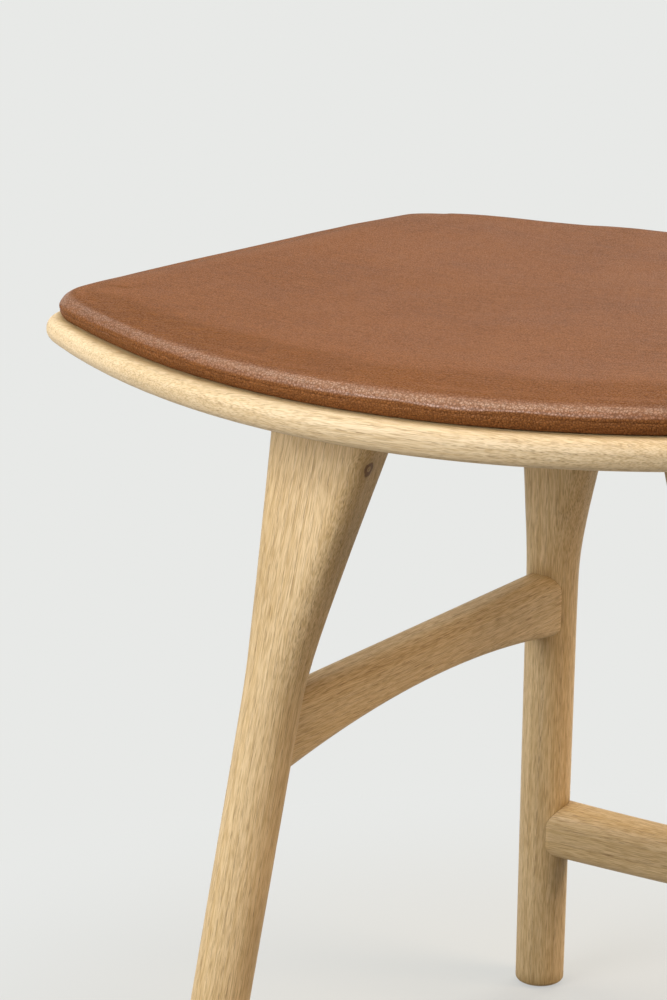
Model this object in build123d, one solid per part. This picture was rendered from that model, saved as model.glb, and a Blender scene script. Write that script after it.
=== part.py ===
from build123d import *
import math
import os

# A low oak stool: a saddle-bent seat board on four splayed legs, two arched side
# rails, one stretcher at the back, and a leather pad that screws on from below.
# Millimetres, +Z up, front of the stool towards -Y, left towards -X.
# The origin is on the floor, under the middle of the seat.

# Seat board
seat_length = 471.6
seat_depth_at_ends = 334.0
seat_depth_at_middle = 472.5
seat_corner_radius = 33.5
board_underside_height = 415.0
board_thickness = 14.6
board_top_edge_radius = 5.8
board_bottom_edge_radius = 8.2
saddle_rise = 12.8
underside_rise = 16.0

# Leather pad, from the board up
pad_inset = 6.0
pad_corner_radius = 37.0
pad_edge_height = 13.4
pad_crown = 2.0
pad_end_fall = 1.1
pad_top_edge_radius = 8.0
pad_bottom_edge_radius = 4.6
leather_thickness = 1.4
leather_slack = 0.3
panel_thickness = 5.0
hem_width = 24.0

# Legs, measured along their axis lines; the flare is only near the top
foot_spread_x = 297.8
foot_spread_y = 359.6
top_spread_x = 214.4
top_spread_y = 225.6
leg_diameter_at_foot = 28.2
leg_diameter = 28.5
round_side_angle = 8.0
flare_lead_height = 242.0
flare_start_height = 274.0
leg_top_width = 64.0
leg_top_depth = 29.0
leg_top_corner_radius = 7.5
foot_edge_radius = 3.0
flare_growth_power = 1.12
flare_corner_power = 0.9
flare_outer_share = 0.22
flare_ease_share = 0.1
flare_lead_shares = (0.0, 0.25, 0.5, 0.75, 1.0)
flare_section_shares = (0.12, 0.25, 0.4, 0.56, 0.72, 0.88, 1.0, 1.15)

# Side rails
rail_height_at_legs = 39.0
rail_height_at_middle = 25.6
rail_thickness = 22.2
rail_top_height = 264.9
rail_top_edge_radius = 9.0
rail_bottom_edge_radius = 7.0

# Back stretcher
stretcher_height = 104.9
stretcher_depth = 24.0
stretcher_size_at_legs = 34.0
stretcher_size_at_middle = 31.6
stretcher_edge_radius = 10.5
stretcher_dip_at_middle = 3.0

# Joinery
glue_line = 0.15
dowel_diameter = 8.0
dowel_length = 28.0
dowel_chamfer = 0.8
joint_dowel_spacing = 16.0
leg_dowel_spacing = 40.0
leg_dowel_depth_in_board = 9.0
dowel_end_room = 1.0

# Screws
leg_screw_diameter = 5.0
leg_screw_head_diameter = 9.6
leg_screw_length = 50.0
leg_screw_spacing = 15.0
pad_screw_diameter = 4.0
pad_screw_head_diameter = 8.0
pad_screw_spacing_x = 310.0
pad_screw_spacing_y = 170.0
pad_screw_bite = 3.8
counterbore_depth = 6.0
counterbore_room = 1.0
screw_hole_room = 0.1
screw_point_length = 4.0
screw_head_height_share = 0.5
driver_width_share = 0.42
driver_depth_share = 0.55
screw_sink = 0.3

# Hem staples
staple_count = 28
staple_crown = 10.0
staple_width = 1.2
staple_wire = 0.7
staple_leg = 4.4
staple_pocket_room = 0.05
staple_line_from_edge = 15.0

# Floor glides
glide_diameter = 20.0
glide_thickness = 2.6
glide_standout = 1.0
glide_edge_radius = 0.4
glide_pocket_room = 0.15

# Worked out from the sizes above
half_length = seat_length / 2
edge_sag = (seat_depth_at_middle - seat_depth_at_ends) / 2
edge_radius = (half_length**2 + edge_sag**2) / (2 * edge_sag)
edge_centre_y = seat_depth_at_middle / 2 - edge_radius
saddle_radius = (half_length**2 + saddle_rise**2) / (2 * saddle_rise)
bend_centre_height = board_underside_height + saddle_radius
underside_radius = (half_length**2 + underside_rise**2) / (2 * underside_rise)
board_top_height = board_underside_height + board_thickness
panel_underside_height = board_top_height + leather_thickness + leather_slack
panel_top_height = panel_underside_height + panel_thickness
cutter_reach = seat_depth_at_middle
leg_lean_x = (foot_spread_x - top_spread_x) / 2 / board_underside_height
leg_lean_y = (foot_spread_y - top_spread_y) / 2 / board_underside_height
rail_middle_height = rail_top_height - rail_height_at_legs / 2
hem_inset = pad_inset + hem_width

corner_names = {"front_left": (-1, -1), "front_right": (1, -1), "back_left": (-1, 1), "back_right": (1, 1)}
side_names = {"left": -1, "right": 1}


# Shared shapes

def leg_axis(height):
    """Distance of a leg's axis line from the two middle planes at a height."""
    return (
        foot_spread_x / 2 - leg_lean_x * height,
        foot_spread_y / 2 - leg_lean_y * height,
    )


def edge_y(x, inset):
    """Distance of the seat's bowed edge from the long middle line."""
    return edge_centre_y + math.sqrt((edge_radius - inset) ** 2 - x**2)


def seat_outline(inset, corner_radius):
    """The seat's plan: straight ends, bowed front and back, rounded corners."""
    x = half_length - inset
    y = edge_y(x, inset)
    middle_y = edge_y(0, inset)
    front = ThreePointArc((-x, -y), (0, -middle_y), (x, -y))
    right = Line((x, -y), (x, y))
    back = ThreePointArc((x, y), (0, middle_y), (-x, y))
    left = Line((-x, y), (-x, -y))
    plan = make_face(Curve() + [front, right, back, left])
    return fillet(plan.vertices(), corner_radius)


def seat_prism(inset, corner_radius):
    """The seat's plan carried straight up through the board and the pad."""
    plan = Pos(0, 0, board_underside_height - board_thickness) * seat_outline(inset, corner_radius)
    return extrude(plan, 3 * board_thickness + 2 * pad_edge_height)


def bent_layer(low, high):
    """All that lies between two heights at mid-length, bent to the saddle."""
    across = Plane((0, 0, bend_centre_height), x_dir=(1, 0, 0), z_dir=(0, -1, 0))
    ring = Circle(bend_centre_height - low) - Circle(bend_centre_height - high)
    return extrude(across * ring, cutter_reach, both=True)


def above_underside(gap):
    """All that lies above the board's underside, which rises more than its top."""
    across = Plane((0, 0, board_underside_height + underside_radius), x_dir=(1, 0, 0), z_dir=(0, -1, 0))
    return extrude(across * Circle(underside_radius + gap), cutter_reach, both=True)


def below_crown(drop):
    """All that lies under the pad's top: crowned front to back, and saddle-bent."""
    half_depth = seat_depth_at_middle / 2 - pad_inset
    crown_radius = (half_depth**2 + pad_crown**2) / (2 * pad_crown)
    reach_y = seat_depth_at_middle / 2
    rim_drop = crown_radius - math.sqrt(crown_radius**2 - reach_y**2)
    top = board_top_height + pad_edge_height + pad_crown - drop
    low = top - board_thickness - pad_edge_height
    crown = ThreePointArc((-reach_y, top - rim_drop), (0, top), (reach_y, top - rim_drop))
    walls = Polyline((reach_y, top - rim_drop), (reach_y, low), (-reach_y, low), (-reach_y, top - rim_drop))
    profile = Plane.YZ * make_face(Curve() + [crown, walls])
    rise = saddle_rise - pad_end_fall
    bend_radius = (half_length**2 + rise**2) / (2 * rise)
    axis = Axis((0, 0, top + bend_radius), (0, 1, 0))
    swing = math.degrees(math.asin(half_length / bend_radius))
    return revolve(profile.rotate(axis, -swing), axis, 2 * swing)


def broad_faces(body):
    """The two broad faces of a flat body, the lower one first."""
    return body.faces().sort_by(SortBy.AREA)[-2:].sort_by(Axis.Z)


def rounded_body(body, top_radius, bottom_radius):
    """A flat body with its lower and upper rims rounded over."""
    body = fillet(broad_faces(body)[0].edges(), bottom_radius)
    return fillet(broad_faces(body)[-1].edges(), top_radius)


def pad_body(skin, low):
    """The pad's form, taken in by one skin and resting on a bent surface."""
    prism = seat_prism(pad_inset + skin, pad_corner_radius - skin)
    high = board_top_height + 2 * pad_edge_height
    body = prism & bent_layer(low, high) & below_crown(skin)
    return rounded_body(body, pad_top_edge_radius - skin, pad_bottom_edge_radius - skin)


def on_saddle(x, y, height):
    """A frame on a bent surface, square to it, named by its height at mid-length."""
    radius = bend_centre_height - height
    turn = math.degrees(math.asin(x / radius))
    return Pos(0, 0, bend_centre_height) * Rot(0, -turn, 0) * Pos(0, y, -radius)


def dowel(length, diameter):
    """A plain beech dowel along X with chamfered ends."""
    blank = Rot(0, 90, 0) * Cylinder(diameter / 2, length)
    return chamfer(blank.edges().filter_by(GeomType.CIRCLE), dowel_chamfer)


def dowel_hole(length, diameter):
    """The drilled hole for a dowel, with room at its ends and a glue line round it."""
    return Rot(0, 90, 0) * Cylinder(diameter / 2 + glue_line, length + 2 * dowel_end_room)


def screw(diameter, head_diameter, length, room):
    """A countersunk wood screw, point down, its head face in the XY plane."""
    head_height = (head_diameter - diameter) * screw_head_height_share
    radius = diameter / 2 + room
    head_radius = head_diameter / 2 + room
    profile = Polyline(
        (0, 0),
        (head_radius, 0),
        (radius, -head_height),
        (radius, screw_point_length - length),
        (0, -length - room),
        (0, 0),
    )
    return revolve(Plane.XZ * make_face(profile), Axis.Z)


def driven_screw(diameter, head_diameter, length):
    """A screw with the socket for its driver."""
    head_height = (head_diameter - diameter) * screw_head_height_share
    width = head_diameter * driver_width_share
    socket = extrude(RegularPolygon(width / 2, 6), -head_height * driver_depth_share)
    return screw(diameter, head_diameter, length, 0) - socket


# Where the fasteners go

def leg_top_centre():
    """Middle of a leg's top face, as distances from the two middle planes."""
    axis_x, axis_y = leg_axis(board_underside_height)
    growth = leg_top_width - leg_diameter
    return axis_x - growth * (0.5 - flare_outer_share), axis_y


def leg_fastener_places(side_x, side_y, spacing, height):
    """Two frames over a leg's top, either side of its middle along X."""
    x, y = leg_top_centre()
    shifts = (-spacing / 2, spacing / 2)
    return [on_saddle(side_x * (x + shift), side_y * y, height) for shift in shifts]


def leg_dowel_places(side_x, side_y):
    """Upright dowels that reach from the leg's top into the board."""
    height = board_underside_height + leg_dowel_depth_in_board - dowel_length / 2
    places = leg_fastener_places(side_x, side_y, leg_dowel_spacing, height)
    return [place * Rot(0, 90, 0) for place in places]


def leg_screw_places(side_x, side_y):
    """Screws driven down through the board, with their heads under its surface."""
    return leg_fastener_places(side_x, side_y, leg_screw_spacing, board_top_height - screw_sink)


def pad_screw_places():
    """Screws driven up through the board, their heads in counterbores."""
    height = board_underside_height + counterbore_depth
    shifts_x = (-pad_screw_spacing_x / 2, pad_screw_spacing_x / 2)
    shifts_y = (-pad_screw_spacing_y / 2, pad_screw_spacing_y / 2)
    return [on_saddle(x, y, height) * Rot(180, 0, 0) for x in shifts_x for y in shifts_y]


def leg_surface_y(height):
    """Where a leg's inner face meets a rail's middle plane."""
    return leg_axis(height)[1] - leg_diameter / 2


def rail_plane(side_x):
    """The leaning plane that the two legs of one side lie in, with its X along Y."""
    x = side_x * leg_axis(rail_middle_height)[0]
    return Plane((x, 0, rail_middle_height), x_dir=(0, 1, 0), z_dir=(1, 0, side_x * leg_lean_x))


def rail_dowel_places(side_x, side_y):
    """Two dowels, one over the other, across the seam of a rail and a leg."""
    lean = math.cos(math.atan(leg_lean_x))
    places = []
    for shift in (-joint_dowel_spacing / 2, joint_dowel_spacing / 2):
        y = side_y * leg_surface_y(rail_middle_height + shift * lean)
        places.append(rail_plane(side_x).location * Pos(y, shift, 0))
    return places


def stretcher_plane():
    """The leaning plane that the two back legs lie in, with its X along X."""
    y = leg_axis(stretcher_height)[1]
    return Plane((0, y, stretcher_height), x_dir=(1, 0, 0), z_dir=(0, -1, -leg_lean_y))


def stretcher_dowel_places(side_x):
    """Two dowels, one over the other, across the seam of the stretcher and a leg."""
    lean = math.cos(math.atan(leg_lean_y))
    places = []
    for shift in (-joint_dowel_spacing / 2, joint_dowel_spacing / 2):
        x = side_x * (leg_axis(stretcher_height + shift * lean)[0] - leg_diameter / 2)
        places.append(stretcher_plane().location * Pos(x, shift, 0))
    return places


def staple_places(height):
    """Even steps round the pad on a bent surface, each frame with X along the hem."""
    inset = pad_inset + staple_line_from_edge
    rim = seat_outline(inset, pad_corner_radius - staple_line_from_edge / 2).face().outer_wire()
    places = []
    for step in range(staple_count):
        share = (step + 0.5) / staple_count
        point = rim.position_at(share)
        tangent = rim.tangent_at(share)
        turn = math.degrees(math.atan2(tangent.Y, tangent.X))
        places.append(on_saddle(point.X, point.Y, height) * Rot(0, 0, turn))
    return places


# The pieces

def polar(radius, angle):
    """A point at an angle in degrees on a circle round the origin."""
    return Vector(radius * math.cos(math.radians(angle)), radius * math.sin(math.radians(angle)))


def leg_section(height, width, depth, radius, inward, side_angle=0):
    """One level section of the front left leg: four corner arcs joined by four sides.

    A round section keeps a part of its circle, side_angle each way, for every side.
    """
    corners = []
    for quarter in range(4):
        middle = 90 * quarter + 45
        centre_x = math.copysign(width / 2 - radius, math.cos(math.radians(middle)))
        centre_y = math.copysign(depth / 2 - radius, math.sin(math.radians(middle)))
        centre = Vector(centre_x, centre_y)
        start = centre + polar(radius, 90 * quarter + side_angle)
        end = centre + polar(radius, 90 * quarter + 90 - side_angle)
        corners.append(ThreePointArc(start, centre + polar(radius, middle), end))
    sides = []
    for quarter in range(4):
        start = corners[quarter] @ 1
        end = corners[(quarter + 1) % 4] @ 0
        if side_angle > 0:
            turn = math.radians(90 * quarter + 90)
            middle = Vector(width / 2 * math.cos(turn), depth / 2 * math.sin(turn))
            sides.append(ThreePointArc(start, middle, end))
        else:
            sides.append(Line(start, end))
    axis_x, axis_y = leg_axis(height)
    return Pos(inward - axis_x, -axis_y, height) * make_face(Curve() + corners + sides)


def leg_shaft(grow):
    """The round, slightly tapered lower leg, with its foot's rim eased."""
    rings = []
    for height, diameter in ((glide_standout, leg_diameter_at_foot), (flare_lead_height, leg_diameter)):
        axis_x, axis_y = leg_axis(height)
        rings.append(Pos(-axis_x, -axis_y, height) * Circle(diameter / 2 + grow))
    shaft = loft(rings, ruled=True)
    return fillet(shaft.faces().sort_by(Axis.Z)[0].edges(), foot_edge_radius)


def flare_growth(share):
    """How much a leg has widened at a share of its flare, which may lie below its start."""
    eased = (share + math.hypot(share, flare_ease_share)) / 2
    return (leg_top_width - leg_diameter) * eased**flare_growth_power


def leg_flare(grow):
    """The upper leg: it leaves the round shaft and widens inward to a soft oblong."""
    sections = []
    flare_height = board_underside_height - flare_start_height
    for lead in flare_lead_shares:
        height = flare_lead_height + (flare_start_height - flare_lead_height) * lead
        growth = flare_growth((height - flare_start_height) / flare_height) * lead
        size = leg_diameter + 2 * grow
        inward = growth * (0.5 - flare_outer_share)
        sections.append(leg_section(height, size + growth, size, size / 2, inward, round_side_angle))
    for share in flare_section_shares:
        growth = flare_growth(share)
        depth = leg_diameter + (leg_top_depth - leg_diameter) * share
        fade = max(0, 1 - share) ** flare_corner_power
        radius = leg_top_corner_radius + (leg_diameter / 2 - leg_top_corner_radius) * fade
        height = flare_start_height + flare_height * share
        inward = growth * (0.5 - flare_outer_share)
        width = leg_diameter + growth
        sections.append(leg_section(height, width + 2 * grow, depth + 2 * grow, radius + grow, inward))
    return loft(sections)


def leg_blank(grow):
    """The front left leg before its top is trimmed: round below, flared above."""
    return leg_shaft(grow) + leg_flare(grow)


def to_corner(shape, side_x, side_y):
    """The front left shape, mirrored to another corner."""
    if side_x > 0:
        shape = mirror(shape, about=Plane.YZ)
    if side_y > 0:
        shape = mirror(shape, about=Plane.XZ)
    return shape


def leg(blank, side_x, side_y):
    """A leg: trimmed to the board, drilled for its dowels and screws, cut for its glide."""
    body = to_corner(blank, side_x, side_y)
    body -= above_underside(glue_line)
    hole = dowel_hole(dowel_length, dowel_diameter)
    places = leg_dowel_places(side_x, side_y) + rail_dowel_places(side_x, side_y)
    if side_y > 0:
        places += stretcher_dowel_places(side_x)
    for place in places:
        body -= place * hole
    pilot = screw(leg_screw_diameter, leg_screw_head_diameter, leg_screw_length, screw_hole_room)
    for place in leg_screw_places(side_x, side_y):
        body -= place * pilot
    body -= glide_place(side_x, side_y) * glide_blank(glide_pocket_room)
    return body


def glide_place(side_x, side_y):
    """Middle of a leg's foot, on the floor."""
    x, y = leg_axis(0)
    return Pos(side_x * x, side_y * y, 0)


def glide_blank(room):
    """A round felt glide standing on the floor."""
    disc = Cylinder(glide_diameter / 2 + room, glide_thickness + room)
    return Pos(0, 0, (glide_thickness + room) / 2) * disc


def foot_glide(side_x, side_y):
    """A felt glide with its lower rim eased."""
    disc = glide_blank(0)
    disc = fillet(disc.edges().sort_by(Axis.Z)[0], glide_edge_radius)
    return glide_place(side_x, side_y) * disc


def seat_board():
    """The saddle-bent board, rounded at its rim, drilled for the legs and the pad."""
    board = seat_prism(0, seat_corner_radius) & above_underside(0)
    board &= bent_layer(board_underside_height - board_thickness, board_top_height)
    board = rounded_body(board, board_top_edge_radius, board_bottom_edge_radius)
    hole = dowel_hole(dowel_length, dowel_diameter)
    leg_screw_hole = screw(leg_screw_diameter, leg_screw_head_diameter, leg_screw_length, screw_hole_room)
    mouth = Pos(0, 0, screw_sink / 2) * Cylinder(leg_screw_head_diameter / 2 + screw_hole_room, screw_sink)
    for side_x, side_y in corner_names.values():
        for place in leg_dowel_places(side_x, side_y):
            board -= place * hole
        for place in leg_screw_places(side_x, side_y):
            board -= place * leg_screw_hole
            board -= place * mouth
    bore_radius = pad_screw_head_diameter / 2 + counterbore_room
    counterbore = Pos(0, 0, counterbore_depth / 2) * Cylinder(bore_radius, counterbore_depth)
    pad_screw_hole = screw(pad_screw_diameter, pad_screw_head_diameter, pad_screw_length(), screw_hole_room)
    for place in pad_screw_places():
        board -= place * counterbore
        board -= place * pad_screw_hole
    return board


def pad_screw_length():
    """From the counterbore's floor, through the board, to its bite in the panel."""
    return panel_underside_height - board_underside_height - counterbore_depth + pad_screw_bite


def side_rail(blank, side_x):
    """A rail, straight on top and arched below, coped at both ends to the round legs."""
    half = rail_height_at_legs / 2
    lean = math.cos(math.atan(leg_lean_x))
    top_y = leg_axis(rail_middle_height + half * lean)[1]
    bottom_y = leg_axis(rail_middle_height - half * lean)[1]
    arch_height = half - rail_height_at_middle
    outline = [
        Line((-top_y, half), (top_y, half)),
        Line((top_y, half), (bottom_y, -half)),
        ThreePointArc((bottom_y, -half), (0, arch_height), (-bottom_y, -half)),
        Line((-bottom_y, -half), (-top_y, half)),
    ]
    rail = extrude(make_face(Curve() + outline), rail_thickness / 2, both=True)
    rail = fillet(rail.edges().filter_by(Axis.X), rail_top_edge_radius)
    rail = fillet(rail.edges().filter_by(GeomType.CIRCLE).sort_by(Edge.length)[-2:], rail_bottom_edge_radius)
    rail = rail_plane(side_x).location * rail
    for side_y in side_names.values():
        rail -= to_corner(blank, side_x, side_y)
        for place in rail_dowel_places(side_x, side_y):
            rail -= place * dowel_hole(dowel_length, dowel_diameter)
    return rail


def back_stretcher(blank):
    """The oval stretcher between the back legs, a little slimmer at its middle."""
    reach = leg_axis(stretcher_height - stretcher_size_at_legs / 2)[0]
    stations = (
        (-reach, stretcher_size_at_legs, 0),
        (0, stretcher_size_at_middle, -stretcher_dip_at_middle),
        (reach, stretcher_size_at_legs, 0),
    )
    sections = []
    for x, size, rise in stations:
        section = RectangleRounded(stretcher_depth, size, stretcher_edge_radius)
        sections.append(Plane((x, rise, 0), x_dir=(0, 0, 1), z_dir=(1, 0, 0)) * section)
    stretcher = stretcher_plane().location * loft(sections)
    for side_x in side_names.values():
        stretcher -= to_corner(blank, side_x, 1)
        for place in stretcher_dowel_places(side_x):
            stretcher -= place * dowel_hole(dowel_length, dowel_diameter)
    return stretcher


def staple(room):
    """A wire staple with its crown on the XY plane and its two legs pointing up."""
    width = staple_width + 2 * room
    wire = staple_wire + 2 * room
    crown = Pos(0, 0, staple_wire / 2) * Box(staple_crown + 2 * room, width, wire)
    legs = []
    for side in (-1, 1):
        x = side * (staple_crown - staple_wire) / 2
        legs.append(Pos(x, 0, (staple_wire + staple_leg) / 2) * Box(wire, width, staple_wire + staple_leg + 2 * room))
    return crown + legs[0] + legs[1]


def leather_cover(pockets):
    """The leather skin: over the top, round the sides and turned under as a hem."""
    outer = pad_body(0, board_top_height)
    inner = pad_body(leather_thickness, board_top_height + leather_thickness)
    opening = seat_prism(hem_inset, pad_corner_radius - hem_width / 2)
    opening &= bent_layer(board_underside_height, board_top_height + 2 * leather_thickness)
    cover = outer - inner - opening
    for pocket in pockets:
        cover -= pocket
    return cover


def pad_core():
    """All that the leather wraps: panel and foam together."""
    return pad_body(leather_thickness + leather_slack, panel_underside_height)


def pad_base_panel(core, pockets):
    """The moulded plywood panel that the foam lies on."""
    panel = core & bent_layer(board_top_height, panel_top_height)
    pilot = screw(pad_screw_diameter, pad_screw_head_diameter, pad_screw_length(), screw_hole_room)
    for place in pad_screw_places():
        panel -= place * pilot
    for pocket in pockets:
        panel -= pocket
    return panel


def pad_foam(core):
    """The crowned foam between the panel and the leather."""
    return core - bent_layer(board_underside_height, panel_top_height)


def group(places, shape):
    """The same loose piece set at every place."""
    return Compound(children=[place * shape for place in places])


def build_parts():
    """Every node of the stool, by name."""
    parts = {}
    blank = leg_blank(0)
    cope = leg_blank(glue_line)
    for name, (side_x, side_y) in corner_names.items():
        parts["leg_" + name] = leg(blank, side_x, side_y)
        parts["foot_glide_" + name] = foot_glide(side_x, side_y)
    for name, side_x in side_names.items():
        parts["side_rail_" + name] = side_rail(cope, side_x)
    parts["back_stretcher"] = back_stretcher(cope)
    parts["seat_board"] = seat_board()

    corners = list(corner_names.values())
    peg = dowel(dowel_length, dowel_diameter)
    leg_dowels = [place for corner in corners for place in leg_dowel_places(*corner)]
    rail_dowels = [place for corner in corners for place in rail_dowel_places(*corner)]
    stretcher_dowels = [place for side in side_names.values() for place in stretcher_dowel_places(side)]
    parts["leg_dowels"] = group(leg_dowels, peg)
    parts["rail_dowels"] = group(rail_dowels, peg)
    parts["stretcher_dowels"] = group(stretcher_dowels, peg)

    leg_screws = [place for corner in corners for place in leg_screw_places(*corner)]
    leg_screw = driven_screw(leg_screw_diameter, leg_screw_head_diameter, leg_screw_length)
    pad_screw = driven_screw(pad_screw_diameter, pad_screw_head_diameter, pad_screw_length())
    parts["leg_screws"] = group(leg_screws, leg_screw)
    parts["pad_screws"] = group(pad_screw_places(), pad_screw)

    hem_places = staple_places(board_top_height + 2 * staple_pocket_room)
    pockets = [place * staple(staple_pocket_room) for place in hem_places]
    core = pad_core()
    parts["hem_staples"] = group(hem_places, staple(0))
    parts["leather_cover"] = leather_cover(pockets)
    parts["pad_base_panel"] = pad_base_panel(core, pockets)
    parts["pad_foam"] = pad_foam(core)
    return parts


os.makedirs("parts", exist_ok=True)
for node, shape in build_parts().items():
    export_step(shape, f"parts/{node}.step")
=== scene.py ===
import math

import bmesh
import bpy
from bpy.props import FloatProperty, FloatVectorProperty, IntProperty, PointerProperty
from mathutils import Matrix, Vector, noise


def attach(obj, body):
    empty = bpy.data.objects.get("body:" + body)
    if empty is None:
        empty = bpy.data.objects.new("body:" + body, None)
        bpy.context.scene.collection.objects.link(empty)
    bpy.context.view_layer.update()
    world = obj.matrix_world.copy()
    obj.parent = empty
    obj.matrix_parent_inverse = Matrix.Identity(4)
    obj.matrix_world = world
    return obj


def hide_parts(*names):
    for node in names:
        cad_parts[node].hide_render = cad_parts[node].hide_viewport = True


bl_info = {
    "name": "Oak Stool with Leather Pad",
    "version": (1, 0, 0),
    "blender": (4, 5, 0),
    "location": "View3D > Sidebar > Stool",
    "description": "Dresses the stool's frame in oak, builds its leather pad and sets its stage",
    "category": "Object",
}

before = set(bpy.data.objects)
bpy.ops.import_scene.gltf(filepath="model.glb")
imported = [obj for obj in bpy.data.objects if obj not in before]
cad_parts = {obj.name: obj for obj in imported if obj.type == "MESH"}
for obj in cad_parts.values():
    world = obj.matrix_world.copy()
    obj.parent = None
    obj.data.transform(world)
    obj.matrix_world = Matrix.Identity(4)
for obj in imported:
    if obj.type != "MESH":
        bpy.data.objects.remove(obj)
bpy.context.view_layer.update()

LEGS = ("leg_front_left", "leg_front_right", "leg_back_left", "leg_back_right")
RAILS = ("side_rail_left", "side_rail_right")
GLIDES = ("foot_glide_front_left", "foot_glide_front_right", "foot_glide_back_left", "foot_glide_back_right")
DOWELS = ("leg_dowels", "rail_dowels", "stretcher_dowels")
SCREWS = ("leg_screws", "pad_screws")

MILLIMETRES = (1000, 1000, 1000)
WRINKLE_TURN = math.radians(62)
POLISH_TINT = (1.09, 1.07, 1.05, 1.0)
# Painted shade on oak near other pieces: its tint and how far it reaches
AO_SHADE_TINT = (0.62, 0.56, 0.42, 1.0)
AO_SHADE_REACH = 0.014
# Painted shade: tint of the darker, fuller band on the leather's falling shoulder
SHOULDER_SHADE_TINT = (0.86, 0.82, 0.6, 1.0)
COAT_TINT = (1.0, 0.93, 0.78, 1.0)
COAT_IOR = 1.8

# How deep the slow and the quick unevenness of the leather is, in metres
SLOW_DEPTH = 0.00045
QUICK_DEPTH = 0.00016

# Steps of a quarter of the pad's outline: half an end, a corner and half a long edge
END_STEPS = 14
CORNER_STEPS = 12
EDGE_STEPS = 22


# What a user would change


def length(name, description, default):
    """A size in metres."""
    return FloatProperty(name=name, description=description, default=default, unit="LENGTH", precision=4)


def share(name, description, default):
    """A part of one."""
    return FloatProperty(name=name, description=description, default=default, min=0, max=1, subtype="FACTOR")


def colour(name, description, default):
    """A linear colour."""
    return FloatVectorProperty(
        name=name, description=description, default=default, size=3, min=0, max=1, subtype="COLOR"
    )


def power(name, description, default):
    """The power of a lamp in watts."""
    return FloatProperty(name=name, description=description, default=default, min=0, unit="POWER")


def angle(name, description, degrees):
    """An angle, given in degrees."""
    return FloatProperty(name=name, description=description, default=math.radians(degrees), subtype="ANGLE")


def amount(name, description, default):
    """A number that isn't negative."""
    return FloatProperty(name=name, description=description, default=default, min=0)


class OakSettings(bpy.types.PropertyGroup):
    pale: colour("Pale", "Colour of the pale late wood", (0.8, 0.61, 0.36))
    warm: colour("Warm", "Colour of the warmer streaks", (0.58, 0.395, 0.18))
    # Painted light: the pale colour that the seat board's oak is blended toward, standing in for the brighter
    # light on the board's edge
    painted_light_colour: colour("Soaped", "Colour of wood whitened by soap", (0.83, 0.74, 0.58))
    dark: colour("Dark", "Colour of pores, knots and growth lines", (0.2, 0.105, 0.042))
    ring_spacing: length("Ring spacing", "Distance between growth rings", 0.0034)
    pore_share: share("Pores", "How strongly the open pores show", 0.42)
    roughness: share("Roughness", "Roughness of the oiled surface", 0.52)
    relief: length("Relief", "Depth of the open grain", 0.00012)


class LeatherSettings(bpy.types.PropertyGroup):
    hide: colour("Hide", "Main colour of the leather", (0.24, 0.086, 0.022))
    deep: colour("Deep", "Colour down in the creases", (0.09, 0.027, 0.006))
    rubbed: colour("Rubbed", "Colour where the pad is rubbed", (0.3, 0.12, 0.034))
    pebble: length("Pebble", "Size of the grain's pebbles", 0.0012)
    wrinkle_share: share("Wrinkles", "How strongly the long wrinkles show", 0.9)
    roughness: share("Roughness", "Roughness of the leather's finish", 0.48)
    shine: share("Shine", "Reflection of the leather's own surface", 0.13)
    coat_roughness: share("Coat roughness", "Roughness of the rubbed coat on the rolled edge", 0.4)
    relief: length("Relief", "Depth of the grain", 0.0004)


class PadSettings(bpy.types.PropertyGroup):
    seat_length: length("Seat length", "Length of the seat board along X", 0.4716)
    depth_at_ends: length("Depth at ends", "Depth of the seat board at its ends", 0.334)
    depth_at_middle: length("Depth at middle", "Depth of the seat board at its middle", 0.4725)
    board_top: length("Board top", "Height of the board's top at mid-length", 0.4296)
    saddle_rise: length("Saddle rise", "How much the board's ends rise over its middle", 0.0128)
    board_thickness: length("Board thickness", "Thickness of the seat board", 0.0146)
    inset: length("Inset", "How far the pad stays in from the board's edge", 0.006)
    corner_radius: length("Corner radius", "Radius of the pad's corners in plan", 0.037)
    edge_height: length("Edge height", "Height of the pad's side", 0.0154)
    crown: length("Crown", "Rise of the pad's middle over its long edges", 0.002)
    end_fall: length("End fall", "How much thinner the pad is at its ends", 0.0026)
    widest_share: share("Widest", "Part of the side's height at which the pad is widest", 0.5)
    tuck: length("Tuck", "How far the side is tucked in at the board near the ends", 0.0038)
    bulge: length("Bulge", "How far the pad swells out at mid-length", 0.0016)
    roll: length("Roll", "How far the rolled top edge reaches in", 0.0105)
    corner_roll: length("Corner roll", "How much farther it reaches in at the corners", 0.001)
    middle_roll: length("Middle roll", "How much farther it reaches in at mid-length", 0.0025)
    shoulder: length("Shoulder", "How far in from its edge the pad's top starts to fall", 0.033)
    shoulder_fall: length("Shoulder fall", "How much the top falls before it rolls over", 0.0024)
    hem_width: length("Hem width", "Width of the hem under the pad", 0.024)
    hem_thickness: length("Hem thickness", "Thickness of the hem under the pad", 0.0014)
    swell: amount("Swell", "Pressure of the foam under the leather", 3.0)
    swell_limit: length("Swell limit", "Farthest that the leather may move", 0.0011)
    frames: IntProperty(name="Frames", description="Steps of the swelling", default=20, min=2, max=40)


class FittingSettings(bpy.types.PropertyGroup):
    beech: colour("Beech", "Colour of the dowels", (0.62, 0.38, 0.2))
    plywood: colour("Plywood", "Colour of the panel in the pad", (0.6, 0.42, 0.24))
    steel: colour("Steel", "Colour of screws and staples", (0.6, 0.6, 0.58))
    felt: colour("Felt", "Colour of the glides", (0.16, 0.13, 0.1))


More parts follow.
